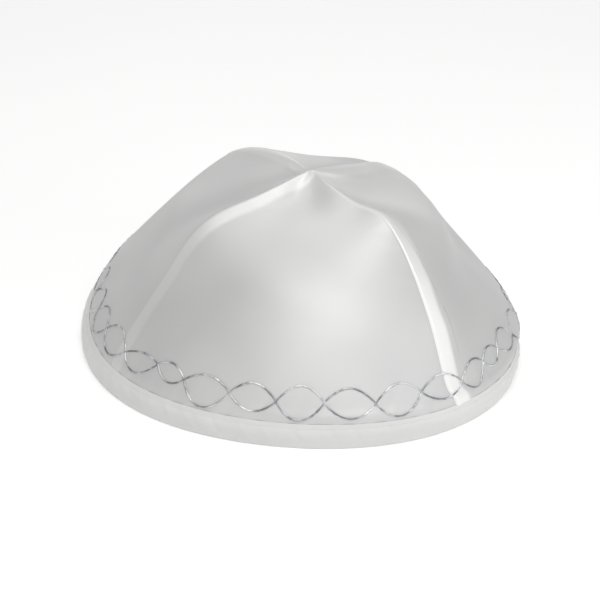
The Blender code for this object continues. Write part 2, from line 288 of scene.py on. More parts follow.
def plan_share(azimuth):
    """The rim's plan: a circle with waves of two, three and four lobes, as a share of its radius."""
    return (1 + OVAL_SHARE_X * np.cos(2 * azimuth) + OVAL_SHARE_DIAGONAL * np.sin(2 * azimuth)
            + TRIANGLE_SHARE_X * np.cos(3 * azimuth) + TRIANGLE_SHARE_Y * np.sin(3 * azimuth)
            + SQUARE_SHARE_X * np.cos(4 * azimuth))


def fold_rise(panel, across, along, reach, half_angle):
    """Sum of the panel's folds: a bell across each fold's line, fading to nothing at its two ends."""
    rise = np.zeros(across.shape)
    for fold in FOLDS:
        if fold.panel != panel.name:
            continue
        share = (along - fold.foot_up) / (fold.head_up - fold.foot_up)
        line = fold.foot_across + (fold.head_across - fold.foot_across) * share
        aside = (across - line) * reach * half_angle / (fold.width * RIM_RADIUS)
        rise += fold.rise * RIM_RADIUS * np.exp(-aside**2) * np.sin(np.pi * np.clip(share, 0, 1)) ** 2
    return rise * (1 - across**4) ** 2


def ridge_share(across, rounding):
    """across squared, bent to a level top over the last share of the way, so that a ridge is soft."""
    edge = 1 - rounding
    over = np.clip(np.abs(across) - edge, 0, None)
    return np.minimum(np.abs(across), edge) ** 2 + 2 * edge * over - edge / rounding * over**2


def crown_surface(azimuth, along):
    """Points of the cloth's outer face and the directions out of it, for azimuth and along of one shape.

    Between two ridges the meridian is middle + (ridge - middle) * ridge_share(across). The direction out is
    at right angles to the meridian, in the upright plane through the axis.
    """
    line = np.zeros(azimuth.shape + (2,))
    run = np.zeros(azimuth.shape + (2,))
    rise = np.zeros(azimuth.shape)
    for index, panel in enumerate(PANELS):
        first = ridge_azimuth(index)
        width = ridge_azimuth(index + 1) - first
        across = 2 * np.mod(azimuth - first, 2 * np.pi) / width - 1
        inside = across <= 1
        across = np.minimum(across, 1)
        middle, middle_run = meridian(*panel[1:], PANEL_CROWN_SHARE, along)
        first_side, first_run = ridge_meridian(index, along)
        last_side, last_run = ridge_meridian(index + 1, along)
        early = (across < 0)[..., None]
        rounding = np.where(across < 0, RIDGES[index].rounding, RIDGES[(index + 1) % len(RIDGES)].rounding)
        pull = ridge_share(across, rounding)[..., None]
        here = middle + (np.where(early, first_side, last_side) - middle) * pull
        here_run = middle_run + (np.where(early, first_run, last_run) - middle_run) * pull
        line = np.where(inside[..., None], here, line)
        run = np.where(inside[..., None], here_run, run)
        folds = fold_rise(panel, across, along, here[..., 0], width / 2)
        rise = np.where(inside, folds, rise)

    length = np.linalg.norm(run, axis=-1)
    out_flat = run[..., 1] / length
    out_up = -run[..., 0] / length
    reach = line[..., 0] + rise * out_flat
    height = line[..., 1] + rise * out_up
    lean = (height - FOOT_LEVEL) / (CROWN_HEIGHT - FOOT_LEVEL)
    spread = reach * plan_share(azimuth)
    x = spread * np.cos(azimuth) + APEX_SHIFT_X * lean
    y = spread * np.sin(azimuth) + APEX_SHIFT_Y * lean
    z = height + CROWN_TILT * lean**2 * y
    out = np.stack([out_flat * np.cos(azimuth), out_flat * np.sin(azimuth), out_up], axis=-1)
    return np.stack([x, y, z], axis=-1), out


def level(directions):
    """The same directions turned level, so that the cloth's cut edge and the tape's sole lie flat."""
    flat = directions * (1, 1, 0)
    return flat / np.linalg.norm(flat, axis=-1, keepdims=True)


def run_along(points, axis):
    """Distance from the first point of each line of a grid, measured along that axis of it."""
    steps = np.linalg.norm(np.diff(points, axis=axis), axis=-1)
    start = np.zeros_like(np.take(steps, [0], axis=axis))
    return np.concatenate([start, np.cumsum(steps, axis=axis)], axis=axis)


def bell(distance, reach):
    return np.exp(-(distance / reach) ** 2)


def soft_step(share):
    """0 below 0, 1 above 1 and a smooth rise between."""
    share = np.clip(share, 0, 1)
    return share**2 * (3 - 2 * share)


def change(along, span):
    """0 below a span of shares of the way up, 1 above it and a smooth rise between."""
    return soft_step((along - span[0]) / (span[1] - span[0]))


# Meshes

def add_piece(name, points, faces, material, uv=None, marks=None):
    """A mesh object at the origin from points, faces of four corners, and values of each point."""
    mesh = bpy.data.meshes.new(name)
    mesh.vertices.add(len(points))
    mesh.vertices.foreach_set("co", np.ascontiguousarray(points, np.float32).ravel())
    mesh.loops.add(faces.size)
    mesh.loops.foreach_set("vertex_index", np.ascontiguousarray(faces, np.int32).ravel())
    mesh.polygons.add(len(faces))
    mesh.polygons.foreach_set("loop_start", np.arange(0, faces.size, 4, dtype=np.int32))
    mesh.update(calc_edges=True)
    mesh.shade_smooth()
    mesh.set_sharp_from_angle(angle=SHARP_ANGLE)
    if uv is not None:
        layer = mesh.uv_layers.new(name="cloth")
        layer.uv.foreach_set("vector", np.ascontiguousarray(uv[faces.ravel()], np.float32).ravel())
    for mark, values in (marks or {}).items():
        attribute = mesh.attributes.new(mark, "FLOAT", "POINT")
        attribute.data.foreach_set("value", values.astype(np.float32).ravel())
    mesh.materials.append(material)
    piece = bpy.data.objects.new(name, mesh)
    bpy.context.scene.collection.objects.link(piece)
    return piece


def wall_faces(shape):
    """Faces of a closed wall from two grids of points of one shape: outer, inner, then the edge between."""
    number = np.arange(shape[0] * shape[1]).reshape(shape)
    corners = (number[:-1, :-1], number[:-1, 1:], number[1:, 1:], number[1:, :-1])
    outer = np.stack(corners, axis=-1).reshape(-1, 4)
    ring = np.concatenate([number[0, :-1], number[:-1, -1], number[-1, :0:-1], number[:0:-1, 0]])
    following = np.roll(ring, -1)
    edge = np.stack([following, ring, ring + number.size, following + number.size], axis=-1)
    return np.concatenate([outer, outer[:, ::-1] + number.size, edge])


def ring_faces(shape):
    """Faces of a closed section carried round a closed way: both axes of the grid come back to the start."""
    number = np.arange(shape[0] * shape[1]).reshape(shape)
    ahead = np.roll(number, -1, axis=0)
    faces = np.stack([number, ahead, np.roll(ahead, -1, axis=1), np.roll(number, -1, axis=1)], axis=-1)
    return faces.reshape(-1, 4)


# Crown panels

def crown_rows():
    """Shares of the way up for the rows of a panel: the foot inside the tape, then the open cloth."""
    return np.concatenate([np.linspace(0, HEM_SHARE, HEM_ROWS + 1),
                           np.linspace(HEM_SHARE, 1, CROWN_ROWS + 1)[1:]])


def seam_shares():
    """Even shares from 0 to 1 with columns brought to both ends: t - crowding * sin(2 pi t) / (2 pi)."""
    t = np.linspace(0, 1, PANEL_COLUMNS + 1)
    return t - EDGE_CROWDING * np.sin(2 * np.pi * t) / (2 * np.pi)


def panel_grid(index):
    """Azimuths and height shares of a panel's grid, from its first seam to its last."""
    along = crown_rows()[:, None]
    reach = np.maximum(ridge_meridian(index, along[:, 0])[0][:, :1], SEAM_GAP)
    first = seam_azimuth(index, along) + SEAM_GAP / reach
    last = seam_azimuth(index + 1, along) - SEAM_GAP / reach
    azimuth = first + (last - first) * seam_shares()[None, :]
    return azimuth, np.broadcast_to(along, azimuth.shape)


def allowance_width(seam, along):
    """Width of a seam's turned edges at a height share, even from the rim to the apex and a little unruly."""
    turned = ALLOWANCES[seam % len(ALLOWANCES)]
    even = turned.foot_width + (turned.head_width - turned.foot_width) * along
    return even * (1 + ALLOWANCE_UNRULY * ripple(along, ALLOWANCE_WAVE, 1.7 * seam))


def round_from_seam(seam, azimuth, along):
    """Distance round the cloth from a seam to each point, in metres, positive after the seam."""
    turn = np.mod(azimuth - seam_azimuth(seam, along) + np.pi, 2 * np.pi) - np.pi
    return turn * ridge_meridian(seam, along)[0][..., 0] * plan_share(azimuth)


def doubled_and_highlight_share(azimuth, along, lead):
    """How much of the seams' turned edges shows through the cloth, from 0 to 1: bands with a soft ledge. The
    share lifts the cloth and whitens its colour, and that whitening is partly a painted highlight.

    A band starts at its seam, after a slope of the length lead on the other side of it.
    """
    share = np.zeros(azimuth.shape)
    for seam, turned in enumerate(ALLOWANCES):
        distance = turned.side * round_from_seam(seam, azimuth, along)
        over = (distance - allowance_width(seam, along)) / ALLOWANCE_LEDGE
        start = soft_step(distance / lead + 1)
        seen = turned.foot_share + (turned.head_share - turned.foot_share) * change(along, SHOW_CHANGE)
        share = np.maximum(share, seen * (1 - soft_step(over + 0.5)) * start)
    return share


def ripple(place, length, shift):
    """Uneven waves between -1 and 1: three sines of lengths that never fall together."""
    turn = 2 * np.pi * place / length
    second = 0.7 * np.sin(1.73 * turn + 2.1 * shift)
    third = 0.5 * np.sin(2.91 * turn + 0.7)
    return (np.sin(turn + shift) + second + third) / 2.2


def panel_relief(index, points, azimuth, along):
    """Height of the sewn cloth's fine relief and the share of doubled cloth, for a panel's grid. That share
    also whitens the cloth's colour, partly as a painted highlight.

    The cloth turns in at each seam as a bell of the distance from it, stands proud over the seam's turned
    edges, and ripples above the tape with uneven waves that fade with the height above the tape.
    """
    from_first = run_along(points, axis=1)
    from_last = from_first[:, -1:] - from_first
    up = run_along(points, axis=0)
    above_hem = np.clip(up - up[HEM_ROWS], 0, None)
    nearest = np.minimum(from_first, from_last)

    # This share raises the cloth over the turned edges, and in the material it whitens the cloth, partly as a
    # painted highlight
    doubled_and_highlight = doubled_and_highlight_share(azimuth, along, SEAM_GAP)
    relief = ALLOWANCE_RISE * doubled_and_highlight * soft_step(nearest / (2 * SEAM_ROLL_REACH))
    fading = 1 - ROLL_LOSS * change(along, ROLL_CHANGE)
    first_roll = ALLOWANCES[index].roll * fading
    last_roll = ALLOWANCES[(index + 1) % len(ALLOWANCES)].roll * fading
    relief -= first_roll * bell(from_first, SEAM_ROLL_REACH) + last_roll * bell(from_last, SEAM_ROLL_REACH)
    stitch = np.sin(2 * np.pi * up / SEAM_STITCH)
    drawn = np.where(from_first < from_last, first_roll, last_roll)
    relief += STITCH_PUCKER_SHARE * drawn * stitch * bell(nearest - 1.6 * SEAM_ROLL_REACH, SEAM_ROLL_REACH)
    side = ripple(up, SEAM_RIPPLE_LENGTH, 1.3 * index) * bell(nearest - SEAM_RIPPLE_AWAY, SEAM_RIPPLE_REACH)
    relief += SEAM_RIPPLE_SHARE * PUCKER_RISE * side
    hem = ripple(from_first, PUCKER_LENGTH, 2.0 + index)
    relief += PUCKER_RISE * hem * np.exp(-above_hem / PUCKER_REACH) * soft_step(nearest / QUIET_SEAM_REACH)
    return relief, doubled_and_highlight


def panel_piece(index, material, middle):
    """One crown panel as a closed wall of cloth, with its relief on the outer face."""
    azimuth, along = panel_grid(index)
    points, out = crown_surface(azimuth, along)
    out[0] = level(out[0])
    relief, doubled_and_highlight = panel_relief(index, points, azimuth, along)
    outer = points + out * relief[..., None]
    inner = points - out * CLOTH_WALL
    across = run_along(points, axis=1)
    up = run_along(points, axis=0)
    half = across[:, -1:] / 2
    uv = np.stack([across - half, up], axis=-1).reshape(-1, 2)
    both = np.concatenate([outer.reshape(-1, 3), inner.reshape(-1, 3)]) - middle
    name = f"crown_cloth_{PANELS[index].name}"
    # Share of whiter cloth over the turned edges, which is partly a painted highlight on the seams' bands
    marks = {"doubled_and_highlight": np.concatenate([doubled_and_highlight.ravel()] * 2)}
    piece = add_piece(name, both, wall_faces(azimuth.shape), material, np.concatenate([uv, uv]), marks)
    flat = (float(across[:, -1].max()), float(up[-1].max()))
    return piece, flat, grid_area(points)


def grid_area(points):
    """Area of a grid's faces: half the length of the cross product of each face's two diagonals."""
    rising = points[1:, 1:] - points[:-1, :-1]
    falling = points[1:, :-1] - points[:-1, 1:]
    return float(np.linalg.norm(np.cross(rising, falling), axis=-1).sum() / 2)


def allowance_piece(seam, material, middle):
    """The turned edges of one seam: a flat strip under the panel beside it, from above the tape to the apex.

    Its free edge lies allowance_width() from the seam, and hangs away from the panel in small waves.
    """
    turned = ALLOWANCES[seam]
    along = np.linspace(HEM_SHARE + ALLOWANCE_START, ALLOWANCE_END, 121)[:, None]
    share = np.linspace(0, 1, 9)
    reach = np.maximum(ridge_meridian(seam, along[:, 0])[0][:, :1], ALLOWANCE_LEAST_REACH)
    width = allowance_width(seam, along) * share
    turn = turned.side * (width + SEAM_GAP) / reach
    azimuth = seam_azimuth(seam, along) + turn
    points, out = crown_surface(azimuth, np.broadcast_to(along, azimuth.shape))
    lift = CLOTH_WALL + ALLOWANCE_GAP + FREE_EDGE_RISE * share**2 * (1 + ripple(along, FREE_EDGE_WAVE, seam))
    upper = points - out * lift[..., None]
    lower = upper - out * ALLOWANCE_WALL
    across = run_along(points, axis=1)
    up = np.broadcast_to(run_along(points, axis=0)[:, :1], across.shape)
    uv = np.stack([across, up], axis=-1).reshape(-1, 2)
    faces = wall_faces(azimuth.shape)
    if turned.side < 0:
        faces = faces[:, ::-1]
    both = np.concatenate([upper.reshape(-1, 3), lower.reshape(-1, 3)]) - middle
    name = f"seam_allowance_{RIDGES[seam].name}"
    marks = {"doubled_and_highlight": np.zeros(len(both))}
    return add_piece(name, both, faces, material, np.concatenate([uv, uv]), marks)


# Rim tape

def tape_piece(material):
    """The folded tape: a U section with a flat sole, carried round the rim, with ripples drawn in by sewing.

    Up the outer leg the offset is gap + wall + fullness * sin(pi * share) + ripples, the two hems are half
    rounds, and the foot's corners are quarter rounds down to the flat sole.
    """
    share = np.linspace(0, 1, TAPE_LEG_POINTS)
    turn = np.linspace(0, 2 * np.pi, TAPE_COLUMNS, endpoint=False)
    azimuth = turn[:, None] + np.zeros((1, TAPE_LEG_POINTS))
    surface, out = crown_surface(azimuth, np.broadcast_to(share * HEM_SHARE, azimuth.shape))
    way = run_along(surface[:, -1:], axis=0)[:, :1]
    lengthwise = way + 0 * azimuth

    slant = lengthwise + TAPE_SLANT * share
    drawn = ripple(slant, TAPE_SHORT_RIPPLE, 0.4) * np.sin(np.pi * share) ** 0.7 * TAPE_SHORT_RISE
    drawn += ripple(slant, TAPE_LONG_RIPPLE, 1.9) * np.sin(np.pi * share) * TAPE_LONG_RISE
    stitch = 1 + 0.35 * np.sin(2 * np.pi * lengthwise / SEAM_STITCH)
    sewn = -TAPE_SEWN_DEPTH * bell(share - TAPE_SEWN_SHARE, 0.05) * stitch
    fullness = TAPE_FULLNESS * np.sin(np.pi * share) + drawn + sewn
    gap = PIECE_GAP * (1 - HEM_CLOSING * soft_step(share))
    wall = TAPE_WALL * (1 - HEM_THINNING * soft_step(2 * share - 1))
    outer_offset = gap + wall + fullness
    under = CLOTH_WALL + gap
    inner_offset = under + wall + 0.5 * drawn + sewn

    outer_skin = surface + out * outer_offset[..., None]
    outer_lining = surface + out * gap[None, :, None]
    inner_lining = surface - out * under[None, :, None]
    inner_skin = surface - out * inner_offset[..., None]

    flat_out = level(out[:, 0])
    foot = surface[:, 0] * (1, 1, 0)
    sole = np.array((0, 0, TAPE_SOLE))
    outer_edge = outer_offset[:, :1]
    inner_edge = inner_offset[:, :1]
    outer_skin[:, 0] = foot + flat_out * outer_edge + sole
    inner_skin[:, 0] = foot - flat_out * inner_edge + sole

    corner = np.linspace(0, np.pi / 2, 6)[1:]
    inset = FOOT_ROUNDING * (1 - np.cos(corner))
    drop = TAPE_SOLE * (1 - np.sin(corner))
    up = np.array((0, 0, 1))
    above = foot[:, None] + up * drop[None, :, None]
    outer_corner = above + flat_out[:, None] * (outer_edge[:, None] - inset[None, :, None])
    inner_corner = above - flat_out[:, None] * (inner_edge[:, None] - inset[None, :, None])

    rise = np.cross(np.cross(out[:, -1], up), out[:, -1])
    bend = np.linspace(0, np.pi, 8)[1:-1][None, :, None]

    def hem(start, end):
        centre = ((start + end) / 2)[:, None]
        half = ((start - end) / 2)[:, None]
        return centre + half * np.cos(bend) + rise[:, None] * np.sin(bend) * wall[-1] * HEM_BULGE

    outer_hem = hem(outer_skin[:, -1], outer_lining[:, -1])
    inner_hem = hem(inner_lining[:, -1], inner_skin[:, -1])
    channel_out = foot + flat_out * PIECE_GAP + sole
    channel_in = foot - flat_out * (CLOTH_WALL + PIECE_GAP) + sole
    section = np.concatenate([
        outer_corner[:, ::-1], outer_skin, outer_hem, outer_lining[:, :0:-1], channel_out[:, None],
        channel_in[:, None], inner_lining[:, 1:], inner_hem, inner_skin[:, ::-1], inner_corner,
    ], axis=1)

    middle = (section.min(axis=(0, 1)) + section.max(axis=(0, 1))) / 2 * (1, 1, 0)
    crosswise = run_along(section, axis=1)
    uv = np.stack([np.broadcast_to(way, crosswise.shape), crosswise], axis=-1).reshape(-1, 2)
    faces = ring_faces(section.shape[:2])
    piece = add_piece("rim_tape", section.reshape(-1, 3) - middle, faces, material, uv)
    sewn_out = out[:, TAPE_STITCH_POINT]
    outer_line = outer_skin[:, TAPE_STITCH_POINT] - middle, sewn_out
    inner_line = inner_skin[:, TAPE_STITCH_POINT] - middle, -sewn_out
    flat = (float(crosswise[:, -1].mean() / 2), float(way[-1, 0]))
    return piece, middle, flat, outer_line, inner_line


# Sewn threads

def stitch_row(name, path, normals, material, length, advance, width, height, twist):
    """Rounded stitches laid end over end along a closed path.

    Stitch k runs from k * advance to k * advance + length along the path. Its section is an ellipse whose
    size follows a half round from end to end, with two plies that turn about it, and its middle is raised.
    """
    closed = np.concatenate([path, path[:1]])
    normal = np.concatenate([normals, normals[:1]])
    way = np.concatenate([[0], np.cumsum(np.linalg.norm(np.diff(closed, axis=0), axis=-1))])
    count = int(round(way[-1] / advance))
    step = way[-1] / count
    t = np.linspace(0, 1, 7)
    place = np.mod(np.arange(count)[:, None] * step + t * length, way[-1])

    def read(values):
        return np.stack([np.interp(place, way, values[:, axis]) for axis in range(3)], axis=-1)

    centre = read(closed)
    out = read(normal)
    ahead = np.gradient(centre, axis=1)
    ahead /= np.linalg.norm(ahead, axis=-1, keepdims=True)
    side = np.cross(out, ahead)
    side /= np.linalg.norm(side, axis=-1, keepdims=True)
    out = np.cross(ahead, side)

    angle = np.linspace(0, 2 * np.pi, 8, endpoint=False)
    fullness = np.sqrt(np.clip(1 - (2 * t - 1) ** 4, 0.03, 1))
    plies = 1 + 0.16 * np.cos(2 * (angle[None, :] - twist * np.pi * t[:, None]))
    wide = (width / 2 * fullness[:, None] * plies * np.cos(angle))[None, ..., None]
    tall = (height / 2 * fullness[:, None] * plies * np.sin(angle))[None, ..., None]
    raised = (height * (0.42 * fullness - 0.12))[None, :, None, None]
    points = centre[:, :, None] + out[:, :, None] * (tall + raised) + side[:, :, None] * wide

    rings = len(t)
    around = len(angle)
    number = np.arange(rings * around).reshape(rings, around)
    beside = np.roll(number, -1, axis=1)
    tube = np.stack([number[:-1], beside[:-1], beside[1:], number[1:]], axis=-1).reshape(-1, 4)
    first = number[0]
    last = number[-1]
    caps = np.array([
        (first[3], first[2], first[1], first[0]), (first[4], first[3], first[0], first[7]),
        (first[5], first[4], first[7], first[6]),
        (last[0], last[1], last[2], last[3]), (last[7], last[0], last[3], last[4]),
        (last[6], last[7], last[4], last[5]),
    ])
    faces = np.concatenate([tube, caps])[None] + (np.arange(count) * rings * around)[:, None, None]
    across = np.broadcast_to(angle / (2 * np.pi) * width * 3, (count, rings, around))
    from_start = np.arange(count)[:, None] * step + t * length
    lengthwise = np.broadcast_to(from_start[..., None], (count, rings, around))
    uv = np.stack([lengthwise, across], axis=-1).reshape(-1, 2)
    return add_piece(name, points.reshape(-1, 3), faces.reshape(-1, 4), material, uv)


def cord(name, path, normals, material, width, height, stitch, pinch):
    """A sewn cord laid along a closed path: an elliptic tube, drawn in a little where each stitch ends.

    Its section shrinks by pinch * cos(pi * place / stitch) ** 8, and its middle lies 0.30 of its height up,
    or 0.05 where it is drawn in.
    """
    closed = np.concatenate([path, path[:1]])
    way = np.concatenate([[0], np.cumsum(np.linalg.norm(np.diff(closed, axis=0), axis=-1))])
    count = int(round(way[-1] / stitch))
    rings = count * 8
    place = np.linspace(0, way[-1], rings, endpoint=False)
    centre = np.stack([np.interp(place, way, closed[:, axis]) for axis in range(3)], axis=-1)
    normal = np.concatenate([normals, normals[:1]])
    out = np.stack([np.interp(place, way, normal[:, axis]) for axis in range(3)], axis=-1)
    ahead = np.roll(centre, -1, axis=0) - np.roll(centre, 1, axis=0)
    side = np.cross(out, ahead)
    side /= np.linalg.norm(side, axis=-1, keepdims=True)
    out = np.cross(ahead, side)
    out /= np.linalg.norm(out, axis=-1, keepdims=True)

    drawn = np.cos(np.pi * place * count / way[-1]) ** 8
    size = (1 - pinch * drawn)[:, None]
    angle = np.linspace(0, 2 * np.pi, 8, endpoint=False)
    wide = width / 2 * size * np.cos(angle)
    tall = height / 2 * size * np.sin(angle) + height * (0.30 - 0.25 * drawn[:, None])
    points = centre[:, None] + out[:, None] * tall[..., None] + side[:, None] * wide[..., None]
    lengthwise = np.broadcast_to(place[:, None], (rings, 8))
    across = np.broadcast_to(angle / (2 * np.pi) * width * 3, (rings, 8))
    uv = np.stack([lengthwise, across], axis=-1).reshape(-1, 2)
    return add_piece(name, points.reshape(-1, 3), ring_faces((rings, 8)), material, uv)


def chain_loops():
    """All loops of the chain in order: the uneven ones at the front and even ones round the back."""
    step = (FRONT_LOOPS[0].azimuth + 360 - BACK_LOOP_START) / BACK_LOOP_COUNT
    back = [BACK_LOOP._replace(azimuth=BACK_LOOP_START + step * k) for k in range(BACK_LOOP_COUNT)]
    return list(FRONT_LOOPS) + back


def chain_heights(first_up):
    """Azimuth and height of one thread of the chain: over a loop, under the next, sin(pi t) ** LOOP_POWER."""
    loops = chain_loops()
    following = loops[1:] + [loops[0]._replace(azimuth=loops[0].azimuth + 360)]
    t = np.linspace(0, 1, LOOP_POINTS, endpoint=False)
    azimuth = []
    height = []
    for number, (loop, after) in enumerate(zip(loops, following)):
        middle = (loop.crossing + after.crossing) / 2
        level_line = loop.crossing + (after.crossing - loop.crossing) * t
        peak = loop.upper if (number % 2 == 0) == first_up else loop.lower
        azimuth.append(loop.azimuth + (after.azimuth - loop.azimuth) * t)
        height.append(level_line + (peak - middle) * np.sin(np.pi * t) ** LOOP_POWER)
    return np.radians(np.concatenate(azimuth)), np.concatenate(height) / 1000


def on_cloth(azimuth, height, middle):
    """Points on the crown cloth and its true normals, at heights along the cloth from its foot.

    They are lifted over the seams' turned edges, and start to rise THREAD_LEAD before a seam.
    """
    along = np.linspace(0, CHAIN_TOP_SHARE, 201)
    grid, _ = crown_surface(azimuth[:, None] + 0 * along, along + 0 * azimuth[:, None])
    up = run_along(grid, axis=1)
    share = np.array([np.interp(h, row, along) for h, row in zip(height, up)])
    points, _ = crown_surface(azimuth, share)
    turned, _ = crown_surface(azimuth + 1e-4, share)
    higher, _ = crown_surface(azimuth, share + 1e-4)
    normals = np.cross(turned - points, higher - points)
    normals /= np.linalg.norm(normals, axis=-1, keepdims=True)
    lift = ALLOWANCE_RISE * doubled_and_highlight_share(azimuth, share, THREAD_LEAD)
    return points + normals * lift[:, None] - middle, normals


# Materials

def srgb(code):
    """Linear colour of an sRGB hex code."""
    value = np.array([int(code[k:k + 2], 16) for k in (1, 3, 5)]) / 255
    linear = np.where(value <= 0.04045, value / 12.92, ((value + 0.055) / 1.055) ** 2.4)
    return (*linear, 1)


def socket(sockets, name):
    """The socket of that name that the node's settings leave in use."""
    return next(one for one in sockets if one.name == name and one.enabled)


def add_node(tree, kind, inputs=None, **settings):
    """A node with its settings, and its inputs set to values or linked to other nodes' outputs."""
    made = tree.nodes.new(kind)
    for name, value in settings.items():
        setattr(made, name, value)
    for name, value in (inputs or {}).items():
        if isinstance(value, bpy.types.NodeSocket):
            tree.links.new(value, socket(made.inputs, name))
        else:
            socket(made.inputs, name).default_value = value
    return made


def set_shader(material, **values):
    """Sets the shader's own inputs: underscores in a name stand for spaces."""
    tree = material.node_tree
    shader = tree.nodes["Principled BSDF"]
    for name, value in values.items():
        target = shader.inputs[name.replace("_", " ")]
        if isinstance(value, bpy.types.NodeSocket):
            tree.links.new(value, target)
        else:
            target.default_value = value


def woven_satin(name, colours, doubled_and_highlight_colour, roughness):
    """Polyester satin: long warp floats run up the cloth and give it a soft, broad sheen.

    The floats are 0.1 mm threads drawn 0.4 mm wide so that they show close up. Cloth over a turned edge is
    whiter, partly because less light gets through it and partly as a painted highlight along the seams'
    bands.
    """
    material = bpy.data.materials.new(name)
    material.use_nodes = True
    tree = material.node_tree
    uv = add_node(tree, "ShaderNodeUVMap", uv_map="cloth")
    place = add_node(tree, "ShaderNodeMapping", {"Vector": uv.outputs["UV"], "Scale": (2500, 260, 1)})
    floats = add_node(tree, "ShaderNodeTexNoise", {"Vector": place.outputs["Vector"], "Scale": 1.0,
                                                   "Detail": 2.0})
    bump = add_node(tree, "ShaderNodeBump", {"Height": floats.outputs["Fac"], "Strength": 0.22,
                                             "Distance": 0.00005})
    body = add_node(tree, "ShaderNodeTexCoord")
    cloud = add_node(tree, "ShaderNodeTexNoise", {"Vector": body.outputs["Object"], "Scale": 26.0,
                                                  "Detail": 1.0})
    shade = add_node(tree, "ShaderNodeMapRange", {"Value": cloud.outputs["Fac"], "From Min": 0.35,
                                                  "From Max": 0.65})
    cloth = add_node(tree, "ShaderNodeMix", {"Factor": shade.outputs["Result"], "A": srgb(colours[0]),
                                             "B": srgb(colours[1])}, data_type="RGBA")
    # Whiter cloth over the seams' turned edges: partly less light getting through, partly a painted highlight
    mark = add_node(tree, "ShaderNodeAttribute", attribute_name="doubled_and_highlight")
    base = add_node(tree, "ShaderNodeMix", {"Factor": mark.outputs["Fac"],
                                            "A": socket(cloth.outputs, "Result"),
                                            "B": srgb(doubled_and_highlight_colour)}, data_type="RGBA")
    gloss = add_node(tree, "ShaderNodeMapRange", {"Value": floats.outputs["Fac"], "To Min": roughness - 0.05,
                                                  "To Max": roughness + 0.05})
    along = add_node(tree, "ShaderNodeTangent", direction_type="UV_MAP", uv_map="cloth")
    set_shader(material, Base_Color=socket(base.outputs, "Result"), Roughness=gloss.outputs["Result"],
               Normal=bump.outputs["Normal"], Tangent=along.outputs["Tangent"], Metallic=0.40,
               Anisotropic=0.75, Anisotropic_Rotation=0.25, Specular_IOR_Level=0.5)
    return material


def bias_tape_satin(name, colour, shade_colour, roughness):
    """Satin bias tape: the same cloth cut at 45 degrees, so its floats run slantwise across the fold."""
    material = bpy.data.materials.new(name)
    material.use_nodes = True
    tree = material.node_tree
    uv = add_node(tree, "ShaderNodeUVMap", uv_map="cloth")
    turned = add_node(tree, "ShaderNodeMapping", {"Vector": uv.outputs["UV"],
                                                  "Rotation": (0, 0, np.radians(45))})
    place = add_node(tree, "ShaderNodeMapping", {"Vector": turned.outputs["Vector"], "Scale": (2500, 260, 1)})
    floats = add_node(tree, "ShaderNodeTexNoise", {"Vector": place.outputs["Vector"], "Scale": 1.0,
                                                   "Detail": 2.0})
    bump = add_node(tree, "ShaderNodeBump", {"Height": floats.outputs["Fac"], "Strength": 0.25,
                                             "Distance": 0.00005})
    body = add_node(tree, "ShaderNodeTexCoord")
    cloud = add_node(tree, "ShaderNodeTexNoise", {"Vector": body.outputs["Object"], "Scale": 60.0,
                                                  "Detail": 1.0})
    base = add_node(tree, "ShaderNodeMix", {"Factor": cloud.outputs["Fac"], "A": srgb(colour),
                                            "B": srgb(shade_colour)}, data_type="RGBA")
    set_shader(material, Base_Color=socket(base.outputs, "Result"), Roughness=roughness,
               Normal=bump.outputs["Normal"], Specular_IOR_Level=0.4, Sheen_Weight=0.15, Sheen_Roughness=0.35)
    return material


def metallised_thread(name):
    """Silver embroidery thread: foil wound round a core, with bright patches painted into its colour as
    glints between dull grey ones.

    The foil's turns are 0.3 mm apart and drawn at 0.6 mm.
    """
    material = bpy.data.materials.new(name)
    material.use_nodes = True
    tree = material.node_tree
    uv = add_node(tree, "ShaderNodeUVMap", uv_map="cloth")
    slant = add_node(tree, "ShaderNodeMapping", {"Vector": uv.outputs["UV"], "Scale": (1, 0.4, 1),
                                                 "Rotation": (0, 0, np.radians(20))})
    turns = add_node(tree, "ShaderNodeTexWave", {"Vector": slant.outputs["Vector"], "Scale": 520.0,
                                                 "Distortion": 1.5})
    body = add_node(tree, "ShaderNodeTexCoord")
    # Patches a few millimetres long, mixed from dull grey to near white in the base colour, are painted
    # glints
    glint_patches = add_node(tree, "ShaderNodeTexNoise", {"Vector": body.outputs["Object"], "Scale": 190.0,
                                                  "Detail": 2.0})
    glint_mask = add_node(tree, "ShaderNodeMapRange", {"Value": glint_patches.outputs["Fac"], "From Min": 0.38,
                                                     "From Max": 0.62})
    base = add_node(tree, "ShaderNodeMix", {"Factor": glint_mask.outputs["Result"], "A": srgb("#8E9195"),
                                            "B": srgb("#E2E4E6")}, data_type="RGBA")
    bump = add_node(tree, "ShaderNodeBump", {"Height": turns.outputs["Fac"], "Strength": 0.25,
                                             "Distance": 0.0001})
    set_shader(material, Base_Color=socket(base.outputs, "Result"), Metallic=0.9, Roughness=0.44,
               Normal=bump.outputs["Normal"])
    return material


def spun_thread(name):
    """White polyester sewing thread: dull, with a fine twist 0.4 mm apart."""
    material = bpy.data.materials.new(name)
    material.use_nodes = True
    tree = material.node_tree
    uv = add_node(tree, "ShaderNodeUVMap", uv_map="cloth")
    slant = add_node(tree, "ShaderNodeMapping", {"Vector": uv.outputs["UV"],
                                                 "Rotation": (0, 0, np.radians(35))})
    twist = add_node(tree, "ShaderNodeTexWave", {"Vector": slant.outputs["Vector"], "Scale": 780.0})
    bump = add_node(tree, "ShaderNodeBump", {"Height": twist.outputs["Fac"], "Strength": 0.4,
                                             "Distance": 0.00008})
    set_shader(material, Base_Color=srgb("#D3D4D6"), Roughness=0.55, Sheen_Weight=0.2,
               Normal=bump.outputs["Normal"])
    return material


